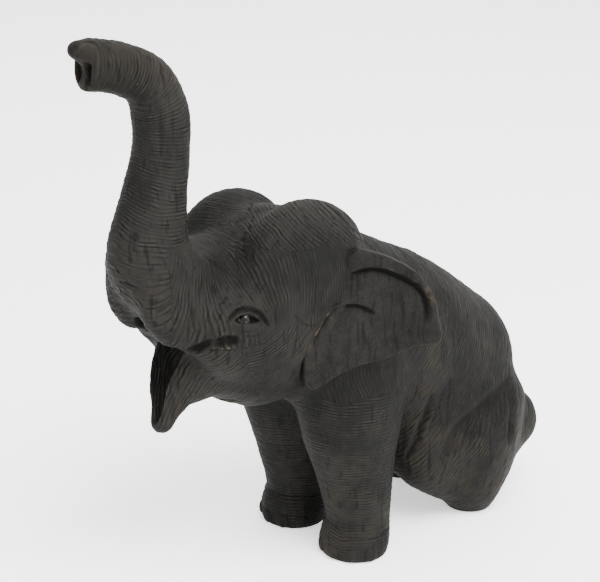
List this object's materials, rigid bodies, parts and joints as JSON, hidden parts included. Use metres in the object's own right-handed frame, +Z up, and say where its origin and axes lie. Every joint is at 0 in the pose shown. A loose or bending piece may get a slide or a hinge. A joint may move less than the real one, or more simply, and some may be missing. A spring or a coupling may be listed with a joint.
{
  "type": "carved elephant figurine",
  "caption": "Seated wooden elephant with a raised trunk, open mouth and domed head, glued up from carved blocks on hidden dowels.",
  "frame": {"origin": "middle of the footprint's bounding box, on the surface that the soles stand on", "axes": "-Y is the way the elephant faces, +X its left side, +Z up"},
  "size_m": [0.1372, 0.2862, 0.2948],
  "materials": {
    "carved_wood": "dark grey-brown stained wood, cut all over with fine V-tool grooves, low sheen",
    "smooth_wood": "the same dark stain on a smoothly scraped surface, low sheen",
    "dowel_wood": "plain unstained hardwood dowel, hidden in the joints"
  },
  "bodies": {
    "root": {"torso": "carved_wood", "head": "carved_wood", "trunk": "carved_wood", "lower_jaw": "carved_wood", "ear_left": "smooth_wood", "ear_right": "smooth_wood", "foreleg_left": "carved_wood", "foreleg_right": "carved_wood", "hind_leg_left": "carved_wood", "hind_leg_right": "carved_wood", "tail": "carved_wood", "trunk_dowel": "dowel_wood", "neck_dowel_left": "dowel_wood", "neck_dowel_right": "dowel_wood", "jaw_dowel_left": "dowel_wood", "jaw_dowel_right": "dowel_wood", "foreleg_dowel_left": "dowel_wood", "foreleg_dowel_right": "dowel_wood", "hind_leg_dowel_left": "dowel_wood", "hind_leg_dowel_right": "dowel_wood"}
  },
  "joints": []
}
